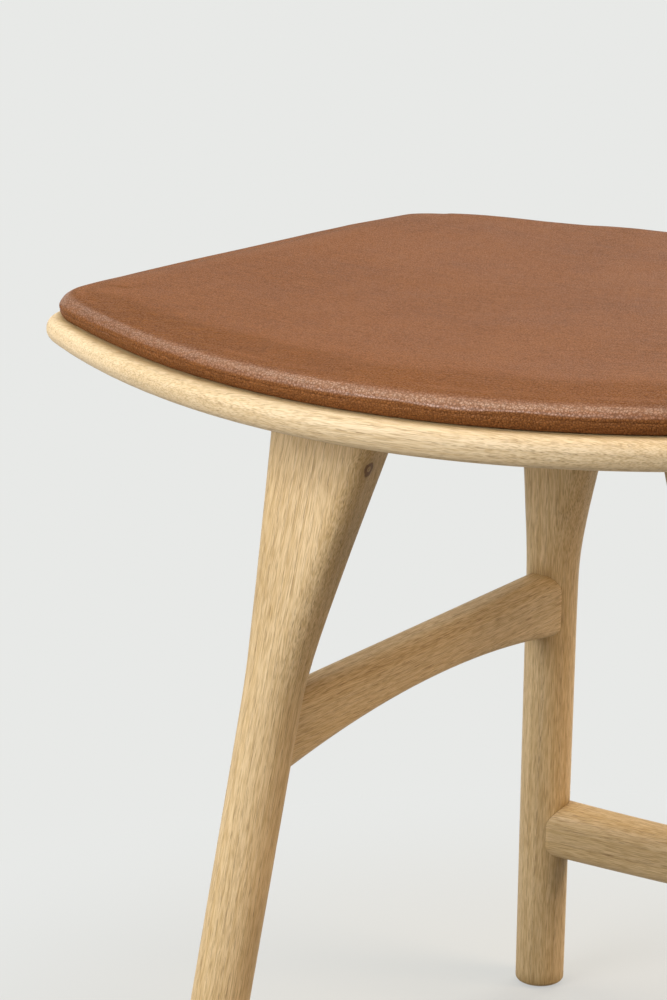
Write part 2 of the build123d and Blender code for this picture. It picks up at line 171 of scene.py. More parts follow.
class StageSettings(bpy.types.PropertyGroup):
    # The darker floor colour near the stool paints a pool of shade round it
    floor: colour("Floor", "Colour of the floor near the stool", (0.5, 0.5, 0.49))
    backdrop: colour("Backdrop", "Colour of the backdrop", (0.806, 0.815, 0.799))
    bounce: colour("Bounce", "Colour that the floor throws back on the stool", (0.27, 0.265, 0.25))
    world: amount("World", "Strength of the light from all round", 0.02)
    key: power("Key", "Power of the low window in front", 18.4)
    fill: power("Fill", "Power of the warm light from the right", 74)
    rim: power("Rim", "Power of the light from behind", 24)
    top: power("Top", "Power of the skylight from above on the left", 31)
    camera_place: FloatVectorProperty(
        name="Camera place",
        description="Where the camera stands",
        default=(0.57852, -1.16306, 0.66492),
        size=3,
        subtype="TRANSLATION",
    )
    heading: angle("Heading", "Turn of the camera about Z", 33.01)
    tilt: angle("Tilt", "How far the camera looks down", 13.78)
    lens: FloatProperty(name="Lens", description="Focal length in millimetres", default=99.72, min=1)
    floor_reach: length("Floor reach", "Half the width of the floor", 6.0)


# Shader building blocks


def add(tree, kind, inputs=None, **settings):
    """A node with its settings made, its sockets filled and its links drawn."""
    made = tree.nodes.new(kind)
    for name, value in settings.items():
        setattr(made, name, value)
    for key, value in (inputs or {}).items():
        socket = made.inputs[key]
        if isinstance(value, bpy.types.NodeSocket):
            tree.links.new(value, socket)
        else:
            socket.default_value = value
    return made


def sum_up(tree, operation, first, second=0.0, third=0.0, clamp=False):
    """The result of one sum."""
    inputs = {0: first, 1: second, 2: third}
    return add(tree, "ShaderNodeMath", inputs, operation=operation, use_clamp=clamp).outputs[0]


def vector_sum(tree, operation, first, second=(0, 0, 0)):
    """The result of one vector sum."""
    return add(tree, "ShaderNodeVectorMath", {0: first, 1: second}, operation=operation).outputs[0]


def size_of(tree, vector):
    """How long a vector is."""
    return add(tree, "ShaderNodeVectorMath", {0: vector}, operation="LENGTH").outputs["Value"]


def times(tree, vector, factor):
    """A vector scaled by a value."""
    return add(tree, "ShaderNodeVectorMath", {0: vector, "Scale": factor}, operation="SCALE").outputs[0]


def scaled(tree, vector, scale):
    """A vector scaled along each of its three axes."""
    return vector_sum(tree, "MULTIPLY", vector, scale)


def cloud(tree, vector, scale, detail=2.0, roughness=0.5, distortion=0.0, output="Fac"):
    """Soft noise between 0 and 1, finer where the scale along an axis is greater."""
    inputs = {"Vector": scaled(tree, vector, scale), "Scale": 1.0, "Detail": detail}
    inputs |= {"Roughness": roughness, "Distortion": distortion}
    return add(tree, "ShaderNodeTexNoise", inputs).outputs[output]


def wander(tree, vector, scale, reach):
    """A soft shift of a vector, half the reach to either side."""
    shift = vector_sum(tree, "SUBTRACT", cloud(tree, vector, scale, output="Color"), (0.5, 0.5, 0.5))
    return scaled(tree, shift, reach)


def between(tree, value, low, high, out_low=0.0, out_high=1.0):
    """A value moved softly from one range to another and held there."""
    inputs = {"Value": value, "From Min": low, "From Max": high, "To Min": out_low, "To Max": out_high}
    return add(tree, "ShaderNodeMapRange", inputs, interpolation_type="SMOOTHSTEP").outputs[0]


def blended(tree, factor, first, second, way="MIX"):
    """Two colours mixed."""
    made = add(tree, "ShaderNodeMix", {0: factor, 6: first, 7: second}, data_type="RGBA", blend_type=way)
    return made.outputs[2]


def new_group(name, inputs, outputs):
    """An empty shader group with named sockets, and its two end nodes."""
    tree = bpy.data.node_groups.new(name, "ShaderNodeTree")
    kinds = {"v": "NodeSocketVector", "c": "NodeSocketColor", "f": "NodeSocketFloat"}
    for label, kind, default in inputs:
        socket = tree.interface.new_socket(label, in_out="INPUT", socket_type=kinds[kind])
        socket.default_value = default
    for label, kind in outputs:
        tree.interface.new_socket(label, in_out="OUTPUT", socket_type=kinds[kind])
    return tree, tree.nodes.new("NodeGroupInput").outputs, tree.nodes.new("NodeGroupOutput").inputs


def grouped(tree, group, inputs):
    """The outputs of a shader group laid into a material."""
    return add(tree, "ShaderNodeGroup", inputs, node_tree=group).outputs


def opaque(rgb):
    """A colour with its alpha."""
    return (rgb[0], rgb[1], rgb[2], 1.0)


def grain_group():
    """Oak figure along X: growth rings, fibres, open pores and a slow change of tone."""
    if "Oak Figure" in bpy.data.node_groups:
        return bpy.data.node_groups["Oak Figure"]
    tree, given, result = new_group(
        "Oak Figure",
        [
            ("Vector", "v", (0, 0, 0)),
            ("Pale", "c", (0.7, 0.5, 0.3, 1)),
            ("Warm", "c", (0.5, 0.35, 0.2, 1)),
            ("Dark", "c", (0.2, 0.1, 0.05, 1)),
            ("Ring Spacing", "f", 3.0),
            ("Pith", "v", (0, 60, 40)),
            ("Pores", "f", 0.5),
            ("Roughness", "f", 0.5),
            ("Knot Mask", "f", 0.0),
        ],
        [("Color", "c"), ("Height", "f"), ("Roughness", "f")],
    )
    millimetres = scaled(tree, given["Vector"], MILLIMETRES)
    bow = wander(tree, millimetres, (0.003, 0.015, 0.015), (0, 9, 9))
    ripple = wander(tree, millimetres, (0.012, 0.1, 0.1), (0, 0.8, 0.8))
    bent = vector_sum(tree, "ADD", vector_sum(tree, "ADD", millimetres, bow), ripple)
    across = scaled(tree, vector_sum(tree, "ADD", bent, given["Pith"]), (0, 1, 1))
    ring = sum_up(tree, "FRACT", sum_up(tree, "DIVIDE", size_of(tree, across), given["Ring Spacing"]))
    early = between(tree, ring, 0.42, 0.0)
    late = between(tree, ring, 0.45, 0.98)
    streak = cloud(tree, bent, (0.012, 0.8, 0.8))
    fibre = cloud(tree, bent, (0.11, 2.6, 2.6), 1.0, 0.4)
    pore = between(tree, cloud(tree, bent, (0.16, 3.2, 3.2), 0.0), 0.56, 0.66)
    pore = sum_up(tree, "MULTIPLY", pore, sum_up(tree, "MULTIPLY_ADD", early, 0.6, 0.4))
    tone = between(tree, cloud(tree, millimetres, (0.005, 0.035, 0.035)), 0.35, 0.68)
    # How warm the wood is: slow tone, long streaks, late wood and single fibres
    warmth = sum_up(tree, "MULTIPLY", tone, 0.3)
    warmth = sum_up(tree, "MULTIPLY_ADD", between(tree, streak, 0.36, 0.66), 0.3, warmth)
    warmth = sum_up(tree, "MULTIPLY_ADD", late, 0.16, warmth)
    warmth = sum_up(tree, "MULTIPLY_ADD", between(tree, fibre, 0.4, 0.6), 0.5, warmth, clamp=True)
    body = blended(tree, warmth, given["Pale"], given["Warm"])
    # How dark it is: pores, dense fibres, early wood and the knot
    shade = sum_up(tree, "MULTIPLY", pore, given["Pores"])
    shade = sum_up(tree, "MULTIPLY_ADD", between(tree, fibre, 0.54, 0.7), 0.24, shade)
    shade = sum_up(tree, "MULTIPLY_ADD", early, 0.07, shade)
    shade = sum_up(tree, "MAXIMUM", shade, given["Knot Mask"], clamp=True)
    tree.links.new(blended(tree, shade, body, given["Dark"]), result["Color"])
    height = sum_up(tree, "MULTIPLY_ADD", pore, -0.75, sum_up(tree, "MULTIPLY", fibre, 0.3))
    height = sum_up(tree, "MULTIPLY_ADD", ring, 0.1, height)
    tree.links.new(height, result["Height"])
    gloss = sum_up(tree, "MULTIPLY_ADD", streak, 0.14, given["Roughness"])
    gloss = sum_up(tree, "MULTIPLY_ADD", pore, 0.15, sum_up(tree, "SUBTRACT", gloss, 0.07), clamp=True)
    tree.links.new(gloss, result["Roughness"])
    return tree


def knot_group():
    """A small knot: the grain flows round it, and it has a dark ring with a swirl."""
    if "Oak Knot" in bpy.data.node_groups:
        return bpy.data.node_groups["Oak Knot"]
    tree, given, result = new_group(
        "Oak Knot",
        [("Vector", "v", (0, 0, 0)), ("Place", "v", (0, 0, 0)), ("Radius", "f", 0.0022)],
        [("Vector", "v"), ("Mask", "f")],
    )
    away = vector_sum(tree, "SUBTRACT", given["Vector"], given["Place"])
    flat = scaled(tree, away, (0.8, 1, 0.5))
    waver = cloud(tree, given["Vector"], (420, 420, 420))
    reach = sum_up(tree, "DIVIDE", size_of(tree, flat), given["Radius"])
    # The grain is pushed aside from the knot's middle, less and less out to four radii
    push = times(tree, scaled(tree, away, (0, -1, -1)), between(tree, reach, 4.2, 0.2, 0.0, 0.75))
    tree.links.new(vector_sum(tree, "ADD", given["Vector"], push), result["Vector"])
    wavy = sum_up(tree, "MULTIPLY_ADD", waver, 0.9, sum_up(tree, "SUBTRACT", reach, 0.45))
    rim = sum_up(tree, "MULTIPLY", between(tree, wavy, 0.3, 0.6), between(tree, wavy, 1.6, 1.15))
    heart = between(tree, wavy, 0.3, 0.1, 0.0, 0.9)
    halo = between(tree, wavy, 3.0, 0.6, 0.0, 0.4)
    mask = sum_up(tree, "MAXIMUM", sum_up(tree, "MAXIMUM", rim, heart), halo)
    tree.links.new(mask, result["Mask"])
    return tree


def wear_group():
    """Rounded edges that hands and knees have polished: a mask that is one on them."""
    if "Handled Edges" in bpy.data.node_groups:
        return bpy.data.node_groups["Handled Edges"]
    tree, given, result = new_group(
        "Handled Edges", [("Vector", "v", (0, 0, 0)), ("Reach", "f", 0.003)], [("Mask", "f")]
    )
    soft = add(tree, "ShaderNodeBevel", {"Radius": given["Reach"]}, samples=4).outputs[0]
    normal = add(tree, "ShaderNodeNewGeometry").outputs["Normal"]
    match = add(tree, "ShaderNodeVectorMath", {0: soft, 1: normal}, operation="DOT_PRODUCT").outputs["Value"]
    edge = between(tree, match, 0.995, 0.9)
    patch = cloud(tree, given["Vector"], (45, 45, 45), 3.0)
    tree.links.new(sum_up(tree, "MULTIPLY", edge, between(tree, patch, 0.35, 0.65)), result["Mask"])
    return tree


def hide_group():
    """Leather: pebbles with creases between them, long wrinkles and cloudy tone."""
    if "Pebbled Hide" in bpy.data.node_groups:
        return bpy.data.node_groups["Pebbled Hide"]
    tree, given, result = new_group(
        "Pebbled Hide",
        [
            ("Vector", "v", (0, 0, 0)),
            ("Hide", "c", (0.3, 0.13, 0.05, 1)),
            ("Deep", "c", (0.12, 0.05, 0.02, 1)),
            ("Rubbed", "c", (0.4, 0.2, 0.1, 1)),
            ("Pebble", "f", 1.1),
            ("Wrinkles", "f", 0.5),
            ("Roughness", "f", 0.42),
        ],
        [("Color", "c"), ("Height", "f"), ("Roughness", "f"), ("Domes", "f")],
    )
    millimetres = scaled(tree, given["Vector"], MILLIMETRES)
    loose = vector_sum(tree, "ADD", millimetres, wander(tree, millimetres, (0.3, 0.3, 0.3), (1.6, 1.6, 1.6)))
    cells = {"Vector": times(tree, loose, sum_up(tree, "DIVIDE", 1.0, given["Pebble"])), "Scale": 1.0}
    pebble = add(tree, "ShaderNodeTexVoronoi", cells, feature="SMOOTH_F1").outputs["Distance"]
    edge = add(tree, "ShaderNodeTexVoronoi", cells, feature="DISTANCE_TO_EDGE").outputs["Distance"]
    crease = between(tree, edge, 0.16, 0.0)
    dome = between(tree, pebble, 0.75, 0.05)
    slant = {"Vector": loose, "Rotation": (0, 0, WRINKLE_TURN), "Scale": (0.05, 0.42, 0.2)}
    slanted = add(tree, "ShaderNodeMapping", slant).outputs[0]
    wrinkle = sum_up(tree, "SUBTRACT", cloud(tree, slanted, (1, 1, 1), 4.0, 0.62, 0.6), 0.5)
    wrinkle = between(tree, sum_up(tree, "ABSOLUTE", wrinkle), 0.09, 0.0)
    patch = cloud(tree, millimetres, (0.012, 0.012, 0.012))
    wrinkle = sum_up(tree, "MULTIPLY", wrinkle, between(tree, patch, 0.3, 0.7, 0.35, 1.0))
    wrinkle = sum_up(tree, "MULTIPLY", wrinkle, given["Wrinkles"])
    fine = cloud(tree, millimetres, (3.2, 3.2, 3.2))
    tone = cloud(tree, millimetres, (0.02, 0.03, 0.03), 4.0, 0.6)
    body = blended(tree, between(tree, tone, 0.35, 0.7, 0.0, 0.2), given["Hide"], given["Rubbed"])
    body = blended(tree, sum_up(tree, "MULTIPLY", dome, 0.4), body, given["Rubbed"])
    dark = sum_up(tree, "MULTIPLY_ADD", crease, 0.6, sum_up(tree, "MULTIPLY", wrinkle, 0.26))
    dark = sum_up(tree, "MULTIPLY_ADD", between(tree, tone, 0.5, 0.25), 0.1, dark, clamp=True)
    tree.links.new(blended(tree, dark, body, given["Deep"]), result["Color"])
    height = sum_up(tree, "MULTIPLY_ADD", dome, 0.45, sum_up(tree, "MULTIPLY", crease, -0.4))
    height = sum_up(tree, "MULTIPLY_ADD", wrinkle, -0.7, height)
    tree.links.new(sum_up(tree, "MULTIPLY_ADD", fine, 0.2, height), result["Height"])
    gloss = sum_up(tree, "MULTIPLY_ADD", crease, 0.18, given["Roughness"])
    gloss = sum_up(tree, "MULTIPLY_ADD", tone, 0.12, sum_up(tree, "SUBTRACT", gloss, 0.06), clamp=True)
    tree.links.new(gloss, result["Roughness"])
    tree.links.new(sum_up(tree, "SUBTRACT", dome, crease, clamp=True), result["Domes"])
    return tree


def blank_material(name):
    """A new node material with its shader, and the object's own coordinates."""
    material = bpy.data.materials.new(name)
    material.use_nodes = True
    tree = material.node_tree
    shader = tree.nodes["Principled BSDF"]
    place = add(tree, "ShaderNodeTexCoord").outputs["Object"]
    return material, tree, shader, place


def bumped(tree, shader, height, depth):
    """Height over the surface, to a real depth in metres."""
    bump = add(tree, "ShaderNodeBump", {"Height": height, "Strength": 1.0, "Distance": depth})
    tree.links.new(bump.outputs[0], shader.inputs["Normal"])


def two_tone(tree, shader, mask, rgb, change):
    """A base colour that a mask makes darker or lighter."""
    other = [min(1, value * change) for value in rgb]
    tree.links.new(blended(tree, mask, opaque(rgb), opaque(other)), shader.inputs["Base Color"])


def along_grain(axis):
    """The turn that lays a grain direction along X."""
    return Vector(axis).normalized().rotation_difference(Vector((1, 0, 0)))


def oak(name, axis, offset, pith, settings, knot=None, tint=0.0, painted_light=0.0):
    """Oiled oak with its grain along an axis, cut at its own place in the tree."""
    material, tree, shader, place = blank_material(name)
    turn = along_grain(axis)
    inputs = {"Vector": place, "Rotation": turn.to_euler(), "Location": offset}
    aligned = add(tree, "ShaderNodeMapping", inputs).outputs[0]
    # Painted light: the board's colours are paled and its pores faded by this share, standing in for the
    # brighter light on its edge
    painted_light_colour = Vector(settings.painted_light_colour)
    inputs = {
        "Vector": aligned,
        "Pale": opaque((Vector(settings.pale) * (1 - 0.5 * tint)).lerp(painted_light_colour, painted_light)),
        "Warm": opaque((Vector(settings.warm) * (1 - tint)).lerp(painted_light_colour, 0.6 * painted_light)),
        "Dark": opaque(settings.dark),
        "Ring Spacing": settings.ring_spacing * 1000,
        "Pith": pith,
        "Pores": settings.pore_share * (1 - 0.9 * painted_light),
        "Roughness": settings.roughness,
    }
    if knot is not None:
        spot = turn @ Vector(knot) + Vector(offset)
        made = grouped(tree, knot_group(), {"Vector": aligned, "Place": spot})
        inputs |= {"Vector": made["Vector"], "Knot Mask": made["Mask"]}
    figure = grouped(tree, grain_group(), inputs)
    worn = grouped(tree, wear_group(), {"Vector": place})["Mask"]
    lighter = blended(tree, 1.0, figure["Color"], POLISH_TINT, "MULTIPLY")
    bare = blended(tree, worn, figure["Color"], lighter)
    # Painted shade: the oak is darkened where another piece stands close, by an ambient occlusion mask
    corner = add(tree, "ShaderNodeAmbientOcclusion", {"Distance": AO_SHADE_REACH}, samples=8).outputs["AO"]
    painted_shade = between(tree, corner, 0.9, 0.55, 0.0, 0.8)
    shaded_colour = blended(tree, 1.0, bare, AO_SHADE_TINT, "MULTIPLY")
    tree.links.new(blended(tree, painted_shade, bare, shaded_colour), shader.inputs["Base Color"])
    polish = sum_up(tree, "MULTIPLY_ADD", worn, -0.08, figure["Roughness"], clamp=True)
    tree.links.new(polish, shader.inputs["Roughness"])
    bumped(tree, shader, figure["Height"], settings.relief)
    shader.inputs["Specular IOR Level"].default_value = 0.4
    return material


def raw_wood(name, rgb, axis, stretch):
    """Bare fine-grained wood for what is hidden in the joints."""
    material, tree, shader, place = blank_material(name)
    inputs = {"Vector": place, "Rotation": along_grain(axis).to_euler()}
    aligned = add(tree, "ShaderNodeMapping", inputs).outputs[0]
    fibre = cloud(tree, aligned, stretch, 4.0, 0.6)
    two_tone(tree, shader, between(tree, fibre, 0.35, 0.7), rgb, 0.62)
    tree.links.new(between(tree, fibre, 0.3, 0.7, 0.6, 0.82), shader.inputs["Roughness"])
    bumped(tree, shader, fibre, 0.00008)
    return material


def plated_steel(name, rgb):
    """Zinc plated steel with cloudy brightness and fine draw lines."""
    material, tree, shader, place = blank_material(name)
    cloudy = cloud(tree, place, (260, 260, 260), 4.0, 0.6)
    lines = cloud(tree, place, (300, 300, 3600))
    two_tone(tree, shader, between(tree, cloudy, 0.35, 0.7), rgb, 0.7)
    tree.links.new(between(tree, cloudy, 0.3, 0.7, 0.24, 0.42), shader.inputs["Roughness"])
    shader.inputs["Metallic"].default_value = 1.0
    bumped(tree, shader, lines, 0.00002)
    return material


def pressed_felt(name, rgb):
    """Dense felt: short crossed fibres with loose lighter hairs."""
    material, tree, shader, place = blank_material(name)
    one = cloud(tree, place, (900, 2600, 1400), 3.0, 0.7, 1.2)
    two = cloud(tree, place, (2600, 900, 1400), 3.0, 0.7, 1.2)
    hairs = sum_up(tree, "MAXIMUM", one, two)
    two_tone(tree, shader, between(tree, hairs, 0.5, 0.72), rgb, 1.7)
    tree.links.new(between(tree, hairs, 0.4, 0.7, 0.85, 0.97), shader.inputs["Roughness"])
    bumped(tree, shader, hairs, 0.0003)
    shader.inputs["Sheen Weight"].default_value = 0.3
    return material


def leather(settings):
    """Brown leather, dull on top and shinier where the edge rolls over."""
    material, tree, shader, place = blank_material("brown_leather")
    inputs = {
        "Vector": place,
        "Hide": opaque(settings.hide),
        "Deep": opaque(settings.deep),
        "Rubbed": opaque(settings.rubbed),
        "Pebble": settings.pebble * 1000,
        "Wrinkles": settings.wrinkle_share,
        "Roughness": settings.roughness,
    }
    hide = grouped(tree, hide_group(), inputs)
    tree.links.new(hide["Roughness"], shader.inputs["Roughness"])
    bumped(tree, shader, hide["Height"], settings.relief)
    normal = add(tree, "ShaderNodeNewGeometry").outputs["Normal"]
    facing = add(tree, "ShaderNodeSeparateXYZ", {0: normal}).outputs["Z"]
    # The rolled edge is rubbed shiny. The shoulder above it, picked out by which way the surface faces, gets
    # painted shade: a darker, fuller colour standing in for the weaker sheen it reflects.
    rolled = sum_up(tree, "MULTIPLY", between(tree, facing, 0.15, 0.6), between(tree, facing, 0.985, 0.9))
    falling = between(tree, facing, 0.9985, 0.988)
    shoulder_shade = sum_up(tree, "MULTIPLY", falling, between(tree, facing, 0.9, 0.96))
    shaded_hide = blended(tree, 1.0, hide["Color"], SHOULDER_SHADE_TINT, "MULTIPLY")
    tree.links.new(blended(tree, shoulder_shade, hide["Color"], shaded_hide), shader.inputs["Base Color"])
    domes = between(tree, hide["Domes"], 0.0, 0.8, 0.35, 1.0)
    tree.links.new(sum_up(tree, "MULTIPLY", rolled, domes), shader.inputs["Coat Weight"])
    shader.inputs["Coat Roughness"].default_value = settings.coat_roughness
    shader.inputs["Coat IOR"].default_value = COAT_IOR
    shader.inputs["Coat Tint"].default_value = COAT_TINT
    shader.inputs["Specular IOR Level"].default_value = settings.shine
    return material


def dress(node, material):
    """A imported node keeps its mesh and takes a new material."""
    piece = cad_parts[node]
    if not piece.material_slots:
        piece.data.materials.append(material)
    for slot in piece.material_slots:
        slot.material = material


# The pad's form


def saddle(x, height, pad):
    """Height of a bent surface at x, from its height at mid-length."""
    half = pad.seat_length / 2
    underside = pad.board_top - pad.board_thickness
    radius = (half**2 + pad.saddle_rise**2) / (2 * pad.saddle_rise) + underside - height
    return height + radius - math.sqrt(radius**2 - x**2)


def pad_top(x, y, pad):
    """Height of the pad's top: crowned front to back and bent to the saddle."""
    half_depth = pad.depth_at_middle / 2 - pad.inset
    crown_radius = (half_depth**2 + pad.crown**2) / (2 * pad.crown)
    drop = crown_radius - math.sqrt(crown_radius**2 - y**2)
    top = pad.board_top + pad.edge_height + pad.crown
    rise = pad.saddle_rise - pad.end_fall
    bend = ((pad.seat_length / 2) ** 2 + rise**2) / (2 * rise)
    return top + bend - math.sqrt((bend + drop) ** 2 - x**2)


def quarter_outline(pad):
    """The pad's plan from mid-end to mid-front of one quarter, as points with outward normals.

    The third value is how near a corner is.
    """
    half = pad.seat_length / 2
    sag = (pad.depth_at_middle - pad.depth_at_ends) / 2
    bow = (half**2 + sag**2) / (2 * sag)
    bow_centre = pad.depth_at_middle / 2 - bow
    end_x = half - pad.inset
    bow_radius = bow - pad.inset
    corner_x = end_x - pad.corner_radius
    corner_y = bow_centre + math.sqrt((bow_radius - pad.corner_radius) ** 2 - corner_x**2)
    lean = math.atan2(corner_x, corner_y - bow_centre)
    points = []
    for step in range(END_STEPS):
        near = max(0, step - END_STEPS + 4) / 8
        points.append((Vector((end_x, corner_y * step / END_STEPS)), Vector((1, 0)), near))
    for step in range(CORNER_STEPS + 1):
        angle = (math.pi / 2 - lean) * step / CORNER_STEPS
        normal = Vector((math.cos(angle), math.sin(angle)))
        near = 1 - abs(step - CORNER_STEPS / 2) / CORNER_STEPS
        points.append((Vector((corner_x, corner_y)) + pad.corner_radius * normal, normal, near))
    for step in range(1, EDGE_STEPS + 1):
        angle = lean * (1 - step / EDGE_STEPS)
        normal = Vector((math.sin(angle), math.cos(angle)))
        near = max(0, 4 - step) / 8
        points.append((Vector((0, bow_centre)) + bow_radius * normal, normal, near))
    return points


def full_outline(pad):
    """All round the pad, counter-clockwise from the middle of the right end."""
    quarter = quarter_outline(pad)
    flips = ((1, 1, False), (-1, 1, True), (-1, -1, False), (1, -1, True))
    outline = []
    for side_x, side_y, back in flips:
        side = Vector((side_x, side_y))
        part = [(point * side, normal * side, near) for point, normal, near in quarter]
        if back:
            part.reverse()
        outline += part[:-1]
    return outline


def pad_column(point, normal, corner, pad):
    """A line of points up the pad: hem, side tucked under and rolled over, and the top's rim.

    corner runs from zero along the straight and bowed sides to one at a corner's middle.
    """
    rim = pad_top(point.x, point.y, pad) - saddle(point.x, pad.board_top, pad) - pad.shoulder_fall
    low = rim * pad.widest_share * (1 - 0.3 * corner)
    high = rim - low
    near_end = min(1, abs(point.x) / (0.4 * pad.seat_length)) ** 2
    roll = pad.roll + pad.corner_roll * corner + pad.middle_roll * (1 - near_end)
    lift = 0.0003
    tuck = pad.tuck * (0.5 + 0.5 * near_end) * (1 - 0.6 * corner)
    bulge = pad.bulge * (1 - near_end)
    steps = [(pad.hem_width, False, pad.hem_thickness), (pad.hem_width, False, lift)]
    steps += [(tuck + (pad.hem_width - tuck) * part, False, lift) for part in (0.7, 0.4, 0.15)]
    for turn in range(7):
        angle = math.radians(90 - 15 * turn)
        inward = 1 - abs(math.cos(angle)) ** 1.5
        steps.append((tuck * inward - bulge * (1 - inward), False, lift + low * (1 - math.sin(angle) ** 1.5)))
    for turn in range(9):
        angle = math.radians(10 * turn)
        inward = (roll + bulge) * (1 - math.cos(angle)) - bulge
        steps.append((inward, True, -high * (1 - math.sin(angle)) - pad.shoulder_fall))
    for part in (0.0, 0.15, 0.32, 0.52, 0.75, 1.0):
        steps.append((roll + (pad.shoulder - roll) * part, True, -pad.shoulder_fall * (1 - part) ** 2))
    column = []
    for inset, upper, rise in steps:
        x, y = point - normal * inset
        base = pad_top(x, y, pad) if upper else saddle(x, pad.board_top, pad)
        column.append(Vector((x, y, base + rise)))
    return column


def patch_rows(ring, across, along, height):
    """A grid of points inside a ring, blended from its four sides."""
    total = len(ring)
    start = total - along // 2
    side = [ring[(start + step) % total] for step in range(along + 1)]
    top = [ring[(start + along + step) % total] for step in range(across + 1)]
    other = [ring[(start + 2 * along + across - step) % total] for step in range(along + 1)]
    low = [ring[(start + 2 * along + 2 * across - step) % total] for step in range(across + 1)]
    rows = []
    for i in range(1, across):
        u = i / across
        row = []
        for j in range(1, along):
            v = j / along
            point = side[j] * (1 - u) + other[j] * u + low[i] * (1 - v) + top[i] * v
            point -= side[0] * (1 - u) * (1 - v) + other[0] * u * (1 - v)
            point -= side[along] * (1 - u) * v + other[along] * u * v
            row.append(Vector((point.x, point.y, height(point.x, point.y))))
        rows.append(row)
    return rows


def fill_patch(mesh, ring, rows, across, along, flip):
    """Faces between a ring of vertices and the grid inside it."""
    total = len(ring)
    start = total - along // 2
    grid = {}
    for step in range(along + 1):
        grid[0, step] = ring[(start + step) % total]
        grid[across, step] = ring[(start + 2 * along + across - step) % total]
    for step in range(across + 1):
        grid[step, along] = ring[(start + along + step) % total]
        grid[step, 0] = ring[(start + 2 * along + 2 * across - step) % total]
    for i, row in enumerate(rows):
        for j, point in enumerate(row):
            grid[i + 1, j + 1] = mesh.verts.new(point)
    for i in range(across):
        for j in range(along):
            loop = [grid[i, j], grid[i, j + 1], grid[i + 1, j + 1], grid[i + 1, j]]
            mesh.faces.new(reversed(loop) if flip else loop)


def pad_shape(pad):
    """The closed pad: hem, rolled side, rolled top edge and crowned top, all of quads."""
    outline = full_outline(pad)
    count = len(outline)
    along = 2 * END_STEPS + CORNER_STEPS
    across = 2 * EDGE_STEPS + CORNER_STEPS
    mesh = bmesh.new()
    columns = [pad_column(point, normal, near, pad) for point, normal, near in outline]
    rings = [[mesh.verts.new(place) for place in level] for level in zip(*columns)]
    for lower, upper in zip(rings, rings[1:]):
        for step in range(count):
            after = (step + 1) % count
            mesh.faces.new((lower[step], lower[after], upper[after], upper[step]))
    top_rows = patch_rows([v.co for v in rings[-1]], across, along, lambda x, y: pad_top(x, y, pad))
    fill_patch(mesh, rings[-1], top_rows, across, along, True)
    under = pad.board_top + pad.hem_thickness
    low_rows = patch_rows([v.co for v in rings[0]], across, along, lambda x, y: saddle(x, under, pad))
    fill_patch(mesh, rings[0], low_rows, across, along, False)
    bmesh.ops.recalc_face_normals(mesh, faces=mesh.faces)
    return mesh, [vertex for ring in rings[:7] for vertex in ring]


def soften(vertices, pad):
    """Slow unevenness of leather drawn tight over foam, none at the hem."""
    for vertex in vertices:
        x, y, z = vertex.co
        lift = z - saddle(x, pad.board_top, pad)
        hold = min(1, max(0, (lift - 0.003) / 0.006))
        slow = noise.noise(Vector((x * 16, y * 16, 3.1))) * SLOW_DEPTH
        quick = noise.noise(Vector((x * 55, y * 55, z * 55 + 7.7))) * QUICK_DEPTH
        vertex.co.z += (slow + quick) * hold
        away = Vector((x, y)).normalized() * quick * hold
        vertex.co.x += away.x
        vertex.co.y += away.y


def swell(piece, pad):
    """The foam presses the leather out: a short cloth run, held to a small limit."""
    rest = [vertex.co.copy() for vertex in piece.data.vertices]
    cloth = piece.modifiers.new("Leather", "CLOTH")
    settings = cloth.settings
    settings.quality = 6
    settings.mass = 0.4
    settings.tension_stiffness = 60
    settings.compression_stiffness = 60
    settings.shear_stiffness = 30
    settings.bending_stiffness = 8
    settings.use_pressure = True
    settings.uniform_pressure_force = pad.swell
    settings.vertex_group_mass = "held"
    settings.effector_weights.gravity = 0
    cloth.collision_settings.use_collision = False
    scene = bpy.context.scene
    scene.frame_start = 1
    scene.frame_end = pad.frames
    for step in range(1, pad.frames + 1):
        scene.frame_set(step)
    graph = bpy.context.evaluated_depsgraph_get()
    moved = piece.evaluated_get(graph).to_mesh()
    places = [vertex.co.copy() for vertex in moved.vertices]
    piece.evaluated_get(graph).to_mesh_clear()
    piece.modifiers.remove(cloth)
    scene.frame_set(1)
    for vertex, start, end in zip(piece.data.vertices, rest, places):
        step = end - start
        step -= vertex.normal * min(0, step.dot(vertex.normal))
        if step.length > pad.swell_limit:
            step = step.normalized() * pad.swell_limit
        vertex.co = start + step


# Operators


class STOOL_OT_seat_board(bpy.types.Operator):
    """Give the seat board its oak, with the grain along its length"""

    bl_idname = "stool.seat_board"
    bl_label = "Dress Seat Board"

    def execute(self, context):
        settings = context.scene.stool_oak
        # The board's oak is paled as painted light for the brighter light on its edge
        board = oak("oak_seat_board", (1, 0, 0), (0.31, 0.02, 0.07), (0, 40, 150), settings, painted_light=0.3)
        dress("seat_board", board)
        return {"FINISHED"}


class STOOL_OT_legs(bpy.types.Operator):
    """Give each leg its oak, with the grain along the leg"""

    bl_idname = "stool.legs"
    bl_label = "Dress Legs"

    def execute(self, context):
        settings = context.scene.stool_oak
        for index, node in enumerate(LEGS):
            side_x = 1 if node.endswith("right") else -1
            side_y = 1 if "back" in node else -1
            axis = (-side_x * 0.1005, -side_y * 0.1614, 1)
            offset = (0.47 * index, 0.031 * index, 0.053 * index)
            pith = (0, 46 + 9 * index, 28 - 13 * index)
            knot = (-0.0769, -0.1245, 0.378) if index == 0 else None
            dress(node, oak("oak_" + node, axis, offset, pith, settings, knot, 0.03 * index))
        return {"FINISHED"}


